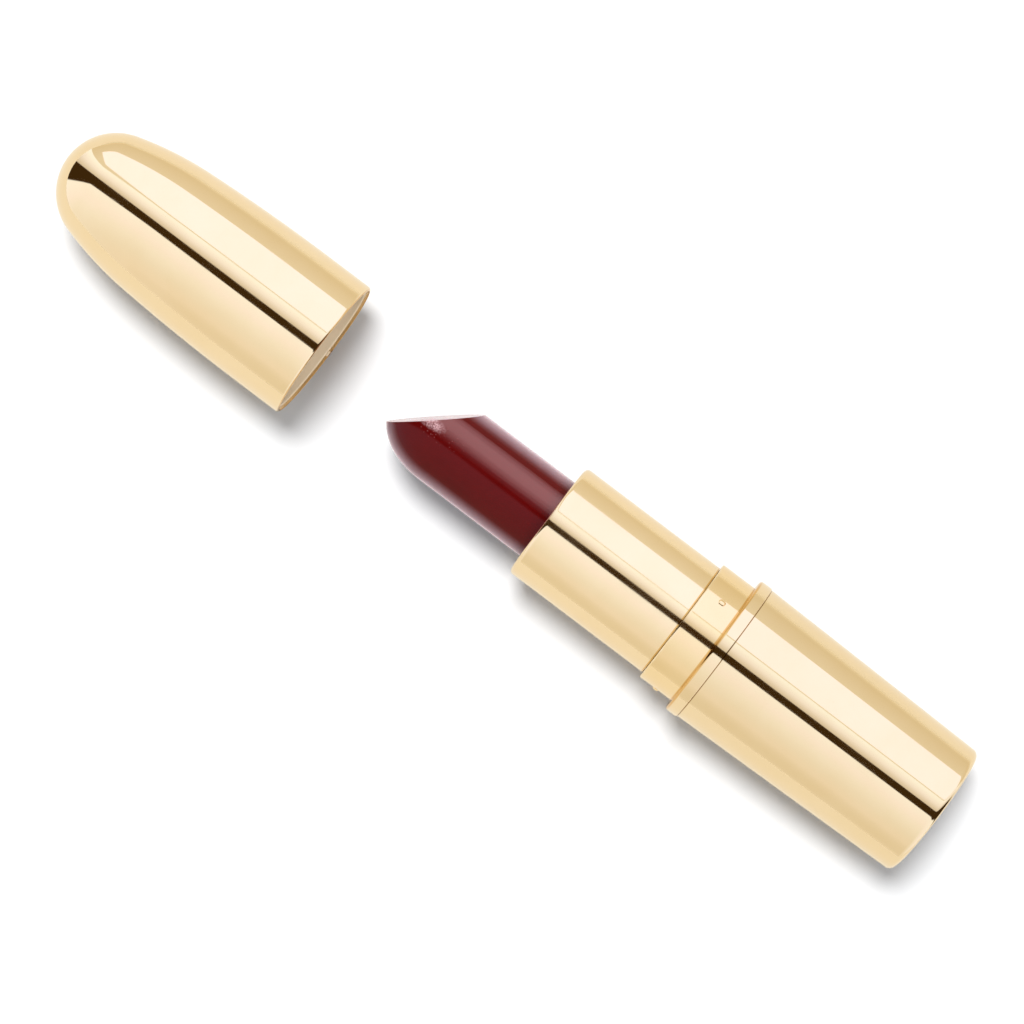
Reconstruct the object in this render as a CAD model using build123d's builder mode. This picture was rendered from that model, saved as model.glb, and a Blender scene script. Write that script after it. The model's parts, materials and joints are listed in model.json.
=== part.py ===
from build123d import *
import os
from math import atan, cos, degrees, pi, radians, sin, sqrt

# Twist-up lipstick case, lying on its side with the cap drawn off and the stick wound out.
#
# Units are millimetres. The frame has +Z up and the tube's axis along X, from the foot of the
# base at low X to the nose of the cap at high X. Stations along the tube are measured from the
# foot, and radii from the tube's axis. The surface that the case lies on is Z = 0, and the
# origin is at the bottom centre of the laid-out object.

# Lipstick stick and its cup
stick_radius = 6.05
stick_projection = 25.7  # from the tube's mouth to the apex of the uncut nose
nose_length = 8.7
slant_angle = 40.5  # between the slanted face and the axis
slant_drop = 3.7  # from the uncut apex back to where the slanted face crosses the axis
slant_roll = 7.0  # how far the slanted face is rolled up from the -Y side
cup_depth = 12.0
cup_floor = 0.9
cup_wall = 0.57
cup_sink = 1.0  # from the tube's mouth down to the cup's rim, wound out
cup_rib_count = 6
cup_rib_height = 0.35
cup_rib_width = 0.6
cup_rib_stop = 4.0  # bare wall between the ribs and the rim
lug_radius = 1.0
lug_height = 1.4  # lug's centre above the cup's underside

# Winding mechanism
stick_sink = 0.3  # wound in, from the tube's mouth down to the apex
wind_turns = 1.5
running_gap = 0.1  # radial, between pieces that slide or turn in each other
guide_wall = 0.7
sleeve_wall = 0.7
groove_depth = 0.45
lug_end_gap = 0.2  # between a lug's end and the groove's floor
groove_side_gap = 0.15
sleeve_tail = 1.55  # plain sleeve below the grooves
slot_side_gap = 0.12
turning_gap = 0.15  # axial, between the turning tube and the snap collar
brake_ring_section = 0.39  # radius of the silicone ring's section
brake_ring_gap = 0.02

# Gold tube over the mechanism
tube_wall = 0.35
tube_length = 21.95
tube_lip_gap = 0.33  # radial, between the lip and the cup
tube_mouth_rounding = 0.9
guide_top_gap = 0.3  # below the tube's rolled lip

# Snap collar, whose bare ring holds the cap
ring_length = 5.2
ring_wall = 0.93
ring_rounding = 0.2
skirt_wall = 0.55
nib_count = 3
nib_first_angle = 33.0  # from straight up, towards -Y
nib_height = 0.2
nib_foot_radius = 0.5
nib_rise = 2.5  # above the collar's shoulder

# Base
base_length = 36.6
base_narrowing = 0.7  # drop in radius from the collar to the foot
base_wall = 0.5
foot_thickness = 1.0
foot_rounding = 0.9
seam_chamfer = 0.08
collar_width = 1.85
collar_step = 0.25  # collar's edge outside the cap's mouth
collar_stand = 0.15  # collar's edge outside the base's side
collar_rounding = 0.3
weight_length = 6.0
weight_gap = 0.1
weight_hole_radius = 2.0
weight_chamfer = 0.4
insert_floor = 1.0
insert_vent_radius = 1.5
plug_wall = 0.8
plug_web = 1.0
label_ring = 0.6  # width of the flat ring that the foot stands on
label_thickness = 0.12
label_recess = 0.25
label_margin = 0.2

# Cap
cap_wall = 0.45
cap_mouth_rounding = 0.4
liner_wall = 0.5
liner_recess = 0.4
cap_ring_gap = 0.1  # radial, between the liner and the snap collar's ring
cap_tube_gap = 0.12  # radial, between the liner and the tube's mouth
cap_straight = 7.1  # straight side behind the mouth, before the long belly arc
cap_shoulder_radius = 48.1  # tighter arc between the belly and the nose
cap_shoulder_angle = 12.8
snap_groove_gap = 0.05
gate_width = 0.8
gate_height = 0.25
cap_draw = 64.4  # how far the cap is drawn off the shoulder

# Sizes that follow from those
shoulder = base_length
ring_top = shoulder + ring_length
tube_bottom = ring_top + turning_gap
tube_mouth = tube_bottom + tube_length
cup_rim = tube_mouth - cup_sink
cup_bottom = cup_rim - cup_depth - cup_floor
wind_travel = stick_projection + stick_sink
cup_radius = stick_radius + cup_wall
guide_bore = cup_radius + running_gap
guide_radius = guide_bore + guide_wall
sleeve_bore = guide_radius + running_gap
sleeve_radius = sleeve_bore + sleeve_wall
tube_radius = sleeve_radius + tube_wall
tube_lip_radius = cup_radius + tube_lip_gap
lug_station = cup_bottom + lug_height
lug_station_wound_in = lug_station - wind_travel
groove_floor_radius = sleeve_bore + groove_depth
groove_width = 2 * (lug_radius + groove_side_gap)
lead = wind_travel / wind_turns
sleeve_bottom = lug_station_wound_in - groove_width / 2 - sleeve_tail
brake_station = sleeve_bottom - brake_ring_section - brake_ring_gap
web_top = brake_station - brake_ring_section
plug_bottom = foot_thickness + weight_length + insert_floor
skirt_bore = sleeve_radius + running_gap
skirt_radius = skirt_bore + skirt_wall
ring_radius = skirt_bore + ring_wall
nib_station = shoulder + nib_rise
slant_station = tube_mouth + stick_projection - slant_drop
liner_bore = ring_radius + cap_ring_gap
cap_mouth_radius = liner_bore + liner_wall + cap_wall
snap_groove_radius = ring_radius + nib_height + snap_groove_gap
snap_groove_width = 2 * (nib_foot_radius + snap_groove_gap)
collar_radius = cap_mouth_radius + collar_step
base_top_radius = collar_radius - collar_stand
base_foot_radius = base_top_radius - base_narrowing
shell_top = shoulder - collar_width
label_radius = base_foot_radius - foot_rounding - label_ring - label_margin
axis_height = collar_radius

# The cap's outline: its belly arc leaves the straight side and passes just outside the tube's
# mouth, where the tube starts to round over, and the shoulder and nose arcs carry on from there
belly_end = ring_length + turning_gap + tube_length - tube_mouth_rounding
belly_end_radius = tube_radius + cap_tube_gap + liner_wall + cap_wall
belly_drop = cap_mouth_radius - belly_end_radius
belly_run = belly_end - cap_straight
belly_angle = 2 * atan(belly_drop / belly_run)
belly_radius = belly_run / sin(belly_angle)
shoulder_end_angle = belly_angle + radians(cap_shoulder_angle)
shoulder_run = cap_shoulder_radius * (sin(shoulder_end_angle) - sin(belly_angle))
shoulder_drop = cap_shoulder_radius * (cos(belly_angle) - cos(shoulder_end_angle))
nose_radius = (belly_end_radius - shoulder_drop) / cos(shoulder_end_angle)
nose_run = nose_radius * (1 - sin(shoulder_end_angle))
cap_length = belly_end + shoulder_run + nose_run
cap_mouth = shoulder + cap_draw
object_length = cap_mouth + cap_length

# Planes of the tube: SECTION holds the axis, with x along it and y outwards; ACROSS is square to
# it, with z along it, x towards +Y and y upwards
TUBE_AXIS = Axis((-object_length / 2, 0, axis_height), (1, 0, 0))
SECTION = Plane(TUBE_AXIS.position, x_dir=(1, 0, 0), z_dir=(0, -1, 0))
ACROSS = Plane(TUBE_AXIS.position, x_dir=(0, 1, 0), z_dir=(1, 0, 0))


def base_taper(station, inset=0.0):
    """Radius of the base's tapered side at a station, moved inwards by inset."""
    slope = (base_top_radius - base_foot_radius) / shell_top
    return base_foot_radius + slope * station - inset * sqrt(1 + slope**2)


def station_plane(station):
    """Plane square to the axis at a station."""
    return ACROSS.offset(station)


def upright_plane(station, height=0.0):
    """Plane that looks straight up, at a station and a height above the axis."""
    middle = station_plane(station).origin + Vector(0, 0, height)
    return Plane(middle, x_dir=(1, 0, 0), z_dir=(0, 0, 1))


def cap_outline(inset, mouth):
    """Closed half section of the cap's bullet form, moved inwards by inset, from the mouth station."""
    straight_end = cap_mouth + cap_straight
    with BuildLine() as outline:
        side = Line(
            (mouth, cap_mouth_radius - inset), (straight_end, cap_mouth_radius - inset)
        )
        belly = JernArc(side @ 1, side % 1, belly_radius - inset, -degrees(belly_angle))
        shoulder_arc = JernArc(
            belly @ 1, belly % 1, cap_shoulder_radius - inset, -cap_shoulder_angle
        )
        nose = JernArc(
            shoulder_arc @ 1,
            shoulder_arc % 1,
            nose_radius - inset,
            degrees(shoulder_end_angle) - 90,
        )
        Polyline(nose @ 1, (mouth, 0), side @ 0)
    return outline.line


# Base: the gold shell, a cup with a rounded foot and a recess for the label
with BuildPart() as base_shell:
    with BuildSketch(SECTION):
        with BuildLine():
            foot = Line((0, 0), (0, base_foot_radius))
            Line(foot @ 1, (shell_top, base_top_radius))
            Line((shell_top, base_top_radius), (shell_top, base_taper(shell_top, base_wall)))
            Line(
                (shell_top, base_taper(shell_top, base_wall)),
                (foot_thickness, base_taper(foot_thickness, base_wall)),
            )
            Line((foot_thickness, base_taper(foot_thickness, base_wall)), (foot_thickness, 0))
            Line((foot_thickness, 0), (0, 0))
        make_face()
    revolve(axis=TUBE_AXIS)
    outer_edges = base_shell.edges().filter_by(GeomType.CIRCLE).sort_by(Axis.X)
    fillet(outer_edges[0], foot_rounding)
    rim_edges = base_shell.edges().filter_by(GeomType.CIRCLE).group_by(Axis.X)[-1]
    chamfer(rim_edges.sort_by(SortBy.RADIUS)[-1], seam_chamfer)
    with BuildSketch(station_plane(0)):
        Circle(label_radius + label_margin)
    extrude(amount=label_recess, mode=Mode.SUBTRACT)
base_shell.part.label = "base_shell"

# Shade label, a plain paper disc stuck in the foot's recess
with BuildPart() as shade_label:
    with BuildSketch(station_plane(label_recess - label_thickness)):
        Circle(label_radius)
    extrude(amount=label_thickness)
shade_label.part.label = "shade_label"

# Steel weight that lies in the foot of the base
with BuildPart() as base_weight:
    with BuildSketch(station_plane(foot_thickness)):
        Circle(base_taper(foot_thickness, base_wall) - weight_gap)
        Circle(weight_hole_radius, mode=Mode.SUBTRACT)
    extrude(amount=weight_length)
    chamfer(base_weight.edges().filter_by(GeomType.CIRCLE), weight_chamfer)
base_weight.part.label = "base_weight"

# Plastic insert glued in the shell: it holds the weight down and takes the mechanism's plug
insert_floor_bottom = foot_thickness + weight_length
with BuildPart() as base_insert:
    with BuildSketch(SECTION):
        with BuildLine():
            Polyline(
                (insert_floor_bottom, insert_vent_radius),
                (insert_floor_bottom, base_taper(insert_floor_bottom, base_wall)),
                (shell_top, base_taper(shell_top, base_wall)),
                (shell_top, skirt_radius),
                (plug_bottom, skirt_radius),
                (plug_bottom, insert_vent_radius),
                close=True,
            )
        make_face()
    revolve(axis=TUBE_AXIS)
base_insert.part.label = "base_insert"

# Trim collar that closes the top of the base and makes the shoulder that the cap stops on
with BuildPart() as base_collar:
    with BuildSketch(station_plane(shell_top)):
        Circle(collar_radius)
        Circle(skirt_radius, mode=Mode.SUBTRACT)
    extrude(amount=collar_width)
    rims = base_collar.edges().filter_by(GeomType.CIRCLE).group_by(SortBy.RADIUS)[-1]
    fillet(rims.sort_by(Axis.X)[-1], collar_rounding)
    chamfer(rims.sort_by(Axis.X)[0], seam_chamfer)
base_collar.part.label = "base_collar"

# Snap collar: a skirt inside the base, and above the shoulder a bare ring with nibs
with BuildPart() as snap_collar:
    with BuildSketch(SECTION):
        with BuildLine():
            Polyline(
                (web_top, skirt_bore),
                (web_top, skirt_radius),
                (shoulder, skirt_radius),
                (shoulder, ring_radius),
                (ring_top, ring_radius),
                (ring_top, skirt_bore),
                close=True,
            )
        make_face()
    revolve(axis=TUBE_AXIS)
    ring_edges = snap_collar.edges().filter_by(GeomType.CIRCLE).group_by(Axis.X)[-1]
    fillet(ring_edges.sort_by(SortBy.RADIUS)[-1], ring_rounding)
    nib_sphere = (nib_foot_radius**2 + nib_height**2) / (2 * nib_height)
    nib_centre = ring_radius + nib_height - nib_sphere
    with Locations(station_plane(nib_station)):
        with PolarLocations(nib_centre, nib_count, start_angle=90 + nib_first_angle):
            Sphere(nib_sphere)
    with BuildSketch(station_plane(web_top)):
        Circle(skirt_bore)
    extrude(amount=ring_top - web_top, mode=Mode.SUBTRACT)
snap_collar.part.label = "snap_collar"

# Guide tube: a plug in the insert, and a long tube with two straight slots for the lugs
with BuildPart() as guide_tube:
    guide_top = tube_mouth - tube_wall - guide_top_gap
    with BuildSketch(SECTION):
        with BuildLine():
            Polyline(
                (plug_bottom, skirt_radius - plug_wall),
                (plug_bottom, skirt_radius),
                (web_top, skirt_radius),
                (web_top, guide_radius),
                (guide_top, guide_radius),
                (guide_top, guide_bore),
                (web_top - plug_web, guide_bore),
                (web_top - plug_web, skirt_radius - plug_wall),
                close=True,
            )
        make_face()
    revolve(axis=TUBE_AXIS)
    slot_width = 2 * (lug_radius + slot_side_gap)
    slot_centre = (lug_station + lug_station_wound_in) / 2
    with BuildSketch(upright_plane(slot_centre)):
        SlotCenterToCenter(wind_travel, slot_width)
    extrude(amount=sleeve_radius, both=True, mode=Mode.SUBTRACT)
guide_tube.part.label = "guide_tube"

# Silicone ring that gives the twist its drag
with BuildPart() as brake_ring:
    with BuildSketch(SECTION):
        with Locations((brake_station, (guide_radius + skirt_bore) / 2)):
            Circle(brake_ring_section)
    revolve(axis=TUBE_AXIS)
brake_ring.part.label = "brake_ring"

# Cutters for the two helical grooves that drive the lugs: one groove, and the grooves' round ends
groove_cut_radius = sleeve_bore - guide_wall / 2
groove_cut_depth = groove_floor_radius - groove_cut_radius
with BuildPart() as groove_cutter:
    with BuildLine():
        groove_path = Helix(
            lead,
            wind_travel,
            groove_cut_radius + groove_cut_depth / 2,
            center=station_plane(lug_station_wound_in).origin,
            direction=(1, 0, 0),
        )
    with BuildSketch(Plane(groove_path @ 0, x_dir=(0, 0, 1), z_dir=groove_path % 0)):
        Rectangle(groove_cut_depth, groove_width)
    sweep(path=groove_path, is_frenet=True)

with BuildPart() as groove_end_cutter:
    for end_station in (lug_station_wound_in, lug_station):
        with BuildSketch(upright_plane(end_station)):
            Circle(groove_width / 2)
        extrude(amount=groove_floor_radius, both=True)

# Cam sleeve: a tube with the two helical grooves inside, half a turn apart
with BuildPart() as cam_sleeve:
    sleeve_length = tube_mouth - tube_wall - sleeve_bottom
    with BuildSketch(station_plane(sleeve_bottom)):
        Circle(sleeve_radius)
        Circle(sleeve_bore, mode=Mode.SUBTRACT)
    extrude(amount=sleeve_length)
    top_edges = cam_sleeve.edges().filter_by(GeomType.CIRCLE).group_by(Axis.X)[-1]
    fillet(top_edges.sort_by(SortBy.RADIUS)[-1], tube_mouth_rounding - tube_wall)
    add(groove_cutter.part, mode=Mode.SUBTRACT)
    add(groove_cutter.part.rotate(TUBE_AXIS, 180), mode=Mode.SUBTRACT)
    add(groove_end_cutter.part, mode=Mode.SUBTRACT)
cam_sleeve.part.label = "cam_sleeve"

# The room inside the gold tube, which the cam sleeve fills
with BuildPart() as tube_core:
    with BuildSketch(station_plane(tube_bottom)):
        Circle(sleeve_radius)
    extrude(amount=tube_length - tube_wall)
    core_edge = tube_core.edges().filter_by(GeomType.CIRCLE).sort_by(Axis.X)[-1]
    fillet(core_edge, tube_mouth_rounding - tube_wall)

# Gold tube pressed over the cam sleeve, with a mouth rolled inwards
with BuildPart() as gold_tube:
    with BuildSketch(station_plane(tube_bottom)):
        Circle(tube_radius)
    extrude(amount=tube_length)
    mouth_edge = gold_tube.edges().filter_by(GeomType.CIRCLE).sort_by(Axis.X)[-1]
    fillet(mouth_edge, tube_mouth_rounding)
    add(tube_core.part, mode=Mode.SUBTRACT)
    with BuildSketch(station_plane(tube_bottom)):
        Circle(tube_lip_radius)
    extrude(amount=tube_length, mode=Mode.SUBTRACT)
gold_tube.part.label = "gold_tube"

# Cup that carries the stick: ribs inside bite into it, and two lugs outside ride in the grooves
with BuildPart() as stick_cup:
    with BuildSketch(station_plane(cup_bottom)):
        Circle(cup_radius)
    extrude(amount=cup_floor + cup_depth)
    with BuildSketch(station_plane(cup_bottom + cup_floor)):
        Circle(stick_radius)
        with PolarLocations(stick_radius - cup_rib_height / 2, cup_rib_count):
            Rectangle(cup_rib_height, cup_rib_width, mode=Mode.SUBTRACT)
    extrude(amount=cup_depth - cup_rib_stop, mode=Mode.SUBTRACT)
    with BuildSketch(station_plane(cup_rim - cup_rib_stop)):
        Circle(stick_radius)
    extrude(amount=cup_rib_stop, mode=Mode.SUBTRACT)
    lug_root = cup_radius - cup_wall / 2
    for side in (1, -1):
        with BuildSketch(upright_plane(lug_station, side * lug_root)):
            Circle(lug_radius)
        extrude(amount=side * (groove_floor_radius - lug_end_gap - lug_root))
stick_cup.part.label = "stick_cup"

# Wax stick: a bar with a long domed nose, cut off at a slant
with BuildPart() as lipstick_stick:
    nose_start = tube_mouth + stick_projection - nose_length
    with BuildSketch(SECTION):
        with BuildLine():
            nose_arc = EllipticalCenterArc(
                (nose_start, 0), nose_length, stick_radius, start_angle=0, arc_size=90
            )
            Polyline(
                nose_arc @ 1,
                (cup_bottom + cup_floor, stick_radius),
                (cup_bottom + cup_floor, 0),
                nose_arc @ 0,
            )
        make_face()
    revolve(axis=TUBE_AXIS)
    slant_normal = Vector(
        sin(radians(slant_angle)),
        -cos(radians(slant_angle)) * cos(radians(slant_roll)),
        cos(radians(slant_angle)) * sin(radians(slant_roll)),
    )
    split(bisect_by=Plane(station_plane(slant_station).origin, z_dir=slant_normal), keep=Keep.BOTTOM)
    add(stick_cup.part, mode=Mode.SUBTRACT)
lipstick_stick.part.label = "lipstick_stick"

# Cap: the gold bullet-shaped shell, with a mouth rounded over outside
with BuildPart() as cap_shell:
    with BuildSketch(SECTION):
        with BuildLine():
            add(cap_outline(0, cap_mouth))
        make_face()
        with BuildLine():
            add(cap_outline(cap_wall, cap_mouth))
        make_face(mode=Mode.SUBTRACT)
    revolve(axis=TUBE_AXIS)
    mouth_edges = cap_shell.edges().filter_by(GeomType.CIRCLE).group_by(Axis.X)[0]
    fillet(mouth_edges.sort_by(SortBy.RADIUS)[-1], cap_mouth_rounding)
cap_shell.part.label = "cap_shell"

# Cap liner: plastic, set back from the mouth, with a groove that the nibs snap into
with BuildPart() as cap_liner:
    liner_mouth = cap_mouth + liner_recess
    with BuildSketch(SECTION):
        with BuildLine():
            add(cap_outline(cap_wall, liner_mouth))
        make_face()
        with BuildLine():
            add(cap_outline(cap_wall + liner_wall, liner_mouth))
        make_face(mode=Mode.SUBTRACT)
        with Locations((cap_mouth + nib_rise, liner_bore)):
            Rectangle(
                snap_groove_width, 2 * (snap_groove_radius - liner_bore), mode=Mode.SUBTRACT
            )
    revolve(axis=TUBE_AXIS)
    gate_plane = station_plane(cap_mouth + liner_recess / 2)
    with BuildSketch(gate_plane):
        with Locations((0, -liner_bore - liner_wall / 2)):
            Rectangle(gate_width, gate_height)
    extrude(amount=liner_recess / 2)
cap_liner.part.label = "cap_liner"

PIECES = (
    base_shell,
    shade_label,
    base_weight,
    base_insert,
    base_collar,
    snap_collar,
    guide_tube,
    brake_ring,
    cam_sleeve,
    gold_tube,
    stick_cup,
    lipstick_stick,
    cap_shell,
    cap_liner,
)

os.makedirs("parts", exist_ok=True)
for piece in PIECES:
    export_step(piece.part, f"parts/{piece.part.label}.step")

print("closed length", round(base_length + cap_length, 2), "laid-out length", round(object_length, 2))
print("turning tube radius", round(tube_radius, 2), "lead", round(lead, 3))
print("slide per radian, m", round(wind_travel / 1000 / (wind_turns * 2 * pi), 8))
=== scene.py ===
"""Twist-up lipstick case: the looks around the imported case, lying with its cap drawn off.

Lengths are metres. The case's axis lies along X, from the foot of the base at low X to the
nose of the cap at high X, and it rests on the floor at Z = 0.
"""

import math

import bmesh
import bpy
from mathutils import Matrix, Vector
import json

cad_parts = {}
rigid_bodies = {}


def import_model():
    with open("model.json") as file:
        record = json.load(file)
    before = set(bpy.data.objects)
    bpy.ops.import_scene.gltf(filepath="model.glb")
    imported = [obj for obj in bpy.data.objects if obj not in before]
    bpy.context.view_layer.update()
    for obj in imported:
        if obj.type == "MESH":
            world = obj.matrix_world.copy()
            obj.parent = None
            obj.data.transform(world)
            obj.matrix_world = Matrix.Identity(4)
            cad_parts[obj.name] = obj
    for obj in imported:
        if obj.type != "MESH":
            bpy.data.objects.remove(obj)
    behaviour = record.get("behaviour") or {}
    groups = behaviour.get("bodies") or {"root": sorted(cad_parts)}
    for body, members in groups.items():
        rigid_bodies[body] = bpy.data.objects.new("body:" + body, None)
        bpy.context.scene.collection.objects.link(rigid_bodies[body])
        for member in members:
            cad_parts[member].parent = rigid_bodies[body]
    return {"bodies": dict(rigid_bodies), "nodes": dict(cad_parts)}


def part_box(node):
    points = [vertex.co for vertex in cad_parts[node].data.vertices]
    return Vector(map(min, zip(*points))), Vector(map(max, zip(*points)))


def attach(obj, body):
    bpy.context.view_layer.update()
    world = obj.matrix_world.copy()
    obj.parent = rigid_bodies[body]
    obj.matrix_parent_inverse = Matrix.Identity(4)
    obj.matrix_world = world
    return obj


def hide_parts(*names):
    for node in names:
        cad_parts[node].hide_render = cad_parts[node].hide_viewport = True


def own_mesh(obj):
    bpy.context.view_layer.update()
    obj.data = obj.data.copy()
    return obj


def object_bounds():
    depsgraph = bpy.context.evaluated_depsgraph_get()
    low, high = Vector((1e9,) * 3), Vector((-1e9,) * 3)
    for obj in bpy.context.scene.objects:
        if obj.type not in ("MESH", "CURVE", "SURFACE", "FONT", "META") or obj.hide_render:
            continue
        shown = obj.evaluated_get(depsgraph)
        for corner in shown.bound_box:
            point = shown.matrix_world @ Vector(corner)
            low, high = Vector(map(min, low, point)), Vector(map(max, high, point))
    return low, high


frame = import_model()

MM = 0.001

# Whatever the start-up file holds isn't part of the scene
kept = set(frame["bodies"].values()) | set(frame["nodes"].values())
for stray in [o for o in bpy.data.objects if o not in kept]:
    bpy.data.objects.remove(stray)

cad_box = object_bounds()

# ---------------------------------------------------------------- sizes, from the frame

collar_low, collar_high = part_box("base_collar")
AXIS_HEIGHT = (collar_low.z + collar_high.z) / 2
AXIS = Vector((0, 0, AXIS_HEIGHT))
ALONG = Vector((1, 0, 0))


def span(node):
    """Where a CAD node starts and ends along the case's axis."""
    low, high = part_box(node)
    return low.x, high.x


def widest(node):
    """Largest radius of a round CAD node about the case's axis."""
    low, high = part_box(node)
    return max(high.y, -low.y, high.z - AXIS_HEIGHT)


FOOT, SHELL_TOP = span("base_shell")
SHOULDER = span("base_collar")[1]
SKIRT_BOTTOM, RING_TOP = span("snap_collar")
TUBE_BOTTOM, TUBE_MOUTH = span("gold_tube")
STICK_BOTTOM, STICK_TIP = span("lipstick_stick")
CAP_MOUTH, CAP_NOSE = span("cap_shell")
LINER_MOUTH = CAP_MOUTH + 0.4 * MM

STICK_RADIUS = widest("lipstick_stick")
TUBE_RADIUS = widest("gold_tube")
SLEEVE_RADIUS = widest("cam_sleeve")
COLLAR_RADIUS = widest("base_collar")
CAP_RADIUS = widest("cap_shell")
BASE_RADIUS = widest("base_shell")
LABEL_RADIUS = widest("shade_label")

# Base
FOOT_RADIUS = BASE_RADIUS - 0.7 * MM
FOOT_ROUNDING = 0.9 * MM
FOOT_THICKNESS = 1.0 * MM
BASE_WALL = 0.5 * MM
SEAM_ROUNDING = 0.08 * MM
COLLAR_ROUNDING = 0.45 * MM
LABEL_RECESS = 0.25 * MM
LABEL_MARGIN = 0.2 * MM

# Snap collar
RING_RADIUS = COLLAR_RADIUS - 1.3 * MM
RING_BORE = RING_RADIUS - 0.93 * MM
SKIRT_RADIUS = RING_BORE + 0.55 * MM
RING_ROUNDING = 0.2 * MM
NIB_COUNT = 3
NIB_FIRST_ANGLE = 33.0
NIB_HEIGHT = 0.2 * MM
NIB_FOOT_RADIUS = 0.5 * MM
NIB_RISE = 2.5 * MM

# Gold tube
TUBE_WALL = 0.35 * MM
TUBE_ROUNDING = 0.65 * MM
TUBE_LIP_RADIUS = 6.95 * MM
GAP_CLOSING = 0.08 * MM

# Cap, whose outline is a straight side, a belly arc, a shoulder arc and a nose arc
CAP_WALL = 0.45 * MM
LINER_WALL = 0.5 * MM
CAP_STRAIGHT = 7.1 * MM
CAP_BELLY_RADIUS = 282.31 * MM
CAP_BELLY_ANGLE = 3.92
CAP_SHOULDER_RADIUS = 48.1 * MM
CAP_SHOULDER_ANGLE = 12.8
CAP_MOUTH_ROUNDING = 0.4 * MM
LINER_MOUTH_ROUNDING = 0.15 * MM
EDGE_BREAK = 0.04 * MM
SNAP_GAP = 0.05 * MM
GATE_LENGTH = 0.3 * MM
GATE_WIDTH = 0.8 * MM
GATE_HEIGHT = 0.18 * MM

# Stick
NOSE_LENGTH = 8.7 * MM
NOSE_APEX = TUBE_MOUTH + 25.7 * MM
SLANT_DROP = 3.7 * MM
SLANT_ANGLE = math.radians(40.5)
SLANT_ROLL = math.radians(7.0)
SLANT_ROUNDING = 0.12 * MM

# Meshes
TURN_STEPS = 256
FEWEST_STEPS = 4
HOLD = 0.05 * MM
SHORTEST_HELD = 8 * HOLD
MERGE = 1e-7


# ---------------------------------------------------------------- meshes


class Outline:
    """Half outline of a turned piece: a wire in a plane through the axis, drawn run by run."""

    def __init__(self, station, radius, heading=0.0):
        self.mesh = bmesh.new()
        self.start = self.tip = self.mesh.verts.new((station, 0, AXIS_HEIGHT + radius))
        self.heading = math.radians(heading)

    def straight(self, station, radius):
        """A straight run, with a close loop at each end that keeps its shading flat."""
        a, b = self.tip.co.copy(), Vector((station, 0, AXIS_HEIGHT + radius))
        length = (b - a).length
        stops = [HOLD / length, 1 - HOLD / length, 1] if length > SHORTEST_HELD else [1]
        for share in stops:
            following = self.mesh.verts.new(a.lerp(b, share))
            self.mesh.edges.new((self.tip, following))
            self.tip = following
        self.heading = math.atan2(b.z - a.z, b.x - a.x)
        return self

    def bend(self, radius, angle, step=3.0):
        """An arc that carries on from the last run, turning outwards if angle is positive."""
        turn = math.radians(angle)
        side = math.copysign(1, turn)
        across = Vector((-math.sin(self.heading), 0, math.cos(self.heading)))
        steps = max(FEWEST_STEPS, math.ceil(abs(angle) / step))
        made = bmesh.ops.spin(
            self.mesh,
            geom=[self.tip],
            cent=self.tip.co + across * radius * side,
            axis=(0, -1, 0),
            angle=turn,
            steps=steps,
        )
        self.tip = next(v for v in made["geom_last"] if isinstance(v, bmesh.types.BMVert))
        self.heading += turn
        return self

    def close(self):
        """The last run, back to the first point."""
        self.straight(self.start.co.x, self.start.co.z - AXIS_HEIGHT)
        return self

    def turned(self):
        """The solid that the outline makes when it is turned about the axis."""
        mesh = self.mesh
        bmesh.ops.remove_doubles(mesh, verts=mesh.verts, dist=MERGE)
        bmesh.ops.spin(
            mesh,
            geom=mesh.verts[:] + mesh.edges[:],
            cent=AXIS,
            axis=ALONG,
            angle=math.tau,
            steps=TURN_STEPS,
            use_merge=True,
        )
        bmesh.ops.remove_doubles(mesh, verts=mesh.verts, dist=MERGE)
        bmesh.ops.recalc_face_normals(mesh, faces=mesh.faces)
        return mesh


def piece(name, mesh, body, material, stands_for, crease=30.0):
    """A finished piece that rides on a body and stands for a CAD node."""
    for face in mesh.faces:
        face.smooth = True
    for edge in mesh.edges:
        edge.smooth = edge.calc_face_angle(math.pi) < math.radians(crease)
    data = bpy.data.meshes.new(name)
    mesh.to_mesh(data)
    mesh.free()
    data.materials.append(material)
    made = bpy.data.objects.new(name, data)
    bpy.context.scene.collection.objects.link(made)
    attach(made, body)
    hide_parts(stands_for)
    return made


# ---------------------------------------------------------------- material tools


def add_node(tree, kind, inputs=None, **settings):
    """A node with its settings, and its inputs joined to sockets or given values."""
    made = tree.nodes.new(kind)
    for key, value in settings.items():
        setattr(made, key, value)
    for key, value in (inputs or {}).items():
        if isinstance(value, bpy.types.NodeSocket):
            tree.links.new(value, made.inputs[key])
        else:
            made.inputs[key].default_value = value
    return made


def maths(tree, operation, *values, clamp=False):
    """The result of a maths node."""
    return add_node(
        tree, "ShaderNodeMath", dict(enumerate(values)), operation=operation, use_clamp=clamp
    ).outputs[0]


def ramp(tree, fac, stops, interpolation="LINEAR"):
    """A colour ramp through (position, colour) stops, where a colour may be one grey value."""
    made = add_node(tree, "ShaderNodeValToRGB", {"Fac": fac})
    band = made.color_ramp
    band.interpolation = interpolation
    while len(band.elements) < len(stops):
        band.elements.new(1.0)
    for element, (position, colour) in zip(band.elements, stops):
        rgb = colour if isinstance(colour, tuple) else (colour,) * 3
        element.position = position
        element.color = (*rgb, 1.0)
    return made.outputs["Color"]


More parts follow.
